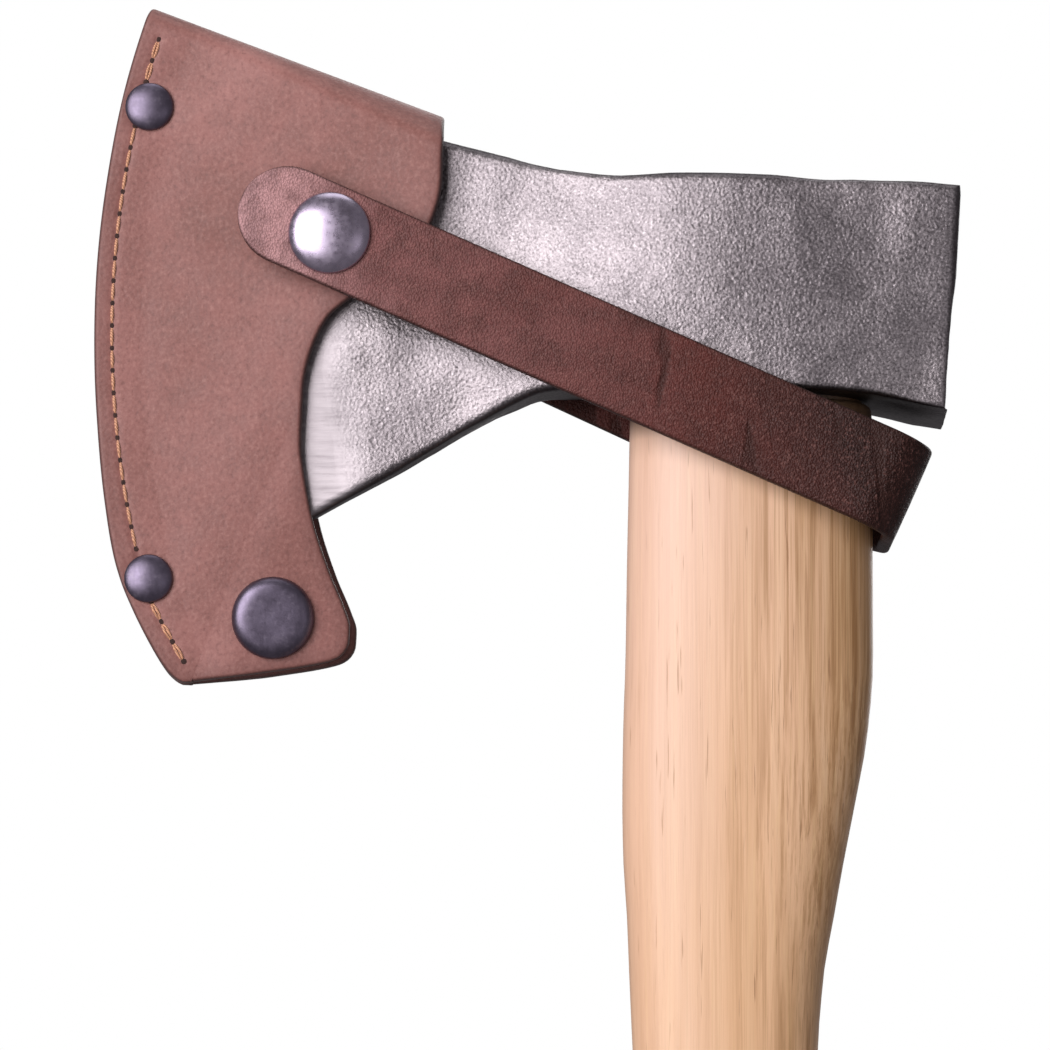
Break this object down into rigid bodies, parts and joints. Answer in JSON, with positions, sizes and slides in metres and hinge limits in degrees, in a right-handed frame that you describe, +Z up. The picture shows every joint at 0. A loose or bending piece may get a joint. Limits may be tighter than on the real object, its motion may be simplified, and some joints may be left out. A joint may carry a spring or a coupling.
{
  "type": "felling axe",
  "caption": "Felling axe with a forged head on a curved wooden handle, its blade in a stitched leather sheath closed by a strap behind the handle.",
  "frame": {"origin": "middle of the lower grip, on the handle's centre line", "axes": "+Z up the handle to the head, -X towards the cutting edge, -Y the side with the strap's snap cap"},
  "size_m": [0.1796, 0.0419, 0.7337],
  "materials": {
    "forged_steel": "forged and blasted, with a brushed ground bevel",
    "hickory": "sanded and oiled",
    "wedge_wood": "sawn",
    "wedge_steel": "dull",
    "sheath_hide": "smooth, waxed, matt",
    "strap_hide": "pebbled grain, satin",
    "welt_leather": "cut edge",
    "waxed_thread": "waxed",
    "gunmetal": "burnished dark nickel",
    "spring_wire": "bright"
  },
  "bodies": {
    "axe": {"head": "forged_steel", "handle": "hickory", "wood_wedge": "wedge_wood", "ring_wedge": "wedge_steel"},
    "sheath": {"sheath_leather": "sheath_hide", "welt": "welt_leather", "seam_thread": "waxed_thread", "rivet_caps": "gunmetal", "rivet_posts": "gunmetal", "strap_stud": "gunmetal", "strap_eyelet": "gunmetal", "strap_rear_leg": "strap_hide", "anchor_rivet_cap": "gunmetal", "anchor_rivet_post": "gunmetal"},
    "strap_bend": {"strap_bend": "strap_hide"},
    "strap_front": {"strap_front_leg": "strap_hide", "strap_cap": "gunmetal", "strap_socket": "gunmetal", "strap_spring": "spring_wire"},
    "front_flap": {"front_flap": "sheath_hide", "corner_cap": "gunmetal", "corner_socket": "gunmetal", "corner_spring": "spring_wire"},
    "back_flap": {"back_flap": "sheath_hide", "corner_stud": "gunmetal", "corner_eyelet": "gunmetal"}
  },
  "joints": [
    {"name": "sheath_slide", "type": "slide", "parent": "axe", "child": "sheath", "axis": [-0.9588, 0, 0.284], "range_m": [0, 0.06]},
    {"name": "strap_swing", "type": "hinge", "parent": "sheath", "child": "strap_bend", "pos_m": [0.02882, 0.01959, 0.52131], "axis": [0.4115, 0, 0.9114], "range_deg": [0, 180]},
    {"name": "strap_open", "type": "hinge", "parent": "strap_bend", "child": "strap_front", "pos_m": [0.03052, -0.01845, 0.52055], "axis": [0.4115, 0, 0.9114], "range_deg": [0, 110]},
    {"name": "front_flap_open", "type": "hinge", "parent": "sheath", "child": "front_flap", "pos_m": [-0.116, -0.0044, 0.482], "axis": [-0.3586, 0.0583, -0.9317], "range_deg": [0, 69]},
    {"name": "back_flap_open", "type": "hinge", "parent": "sheath", "child": "back_flap", "pos_m": [-0.116, 0.0044, 0.482], "axis": [0.3586, 0.0583, 0.9317], "range_deg": [0, 69]}
  ],
  "couplings": [
    {"joint": "strap_swing", "follows": "sheath_slide", "rad_per_m": 50.614},
    {"joint": "front_flap_open", "follows": "sheath_slide", "rad_per_m": 19.199},
    {"joint": "back_flap_open", "follows": "sheath_slide", "rad_per_m": 19.199}
  ]
}
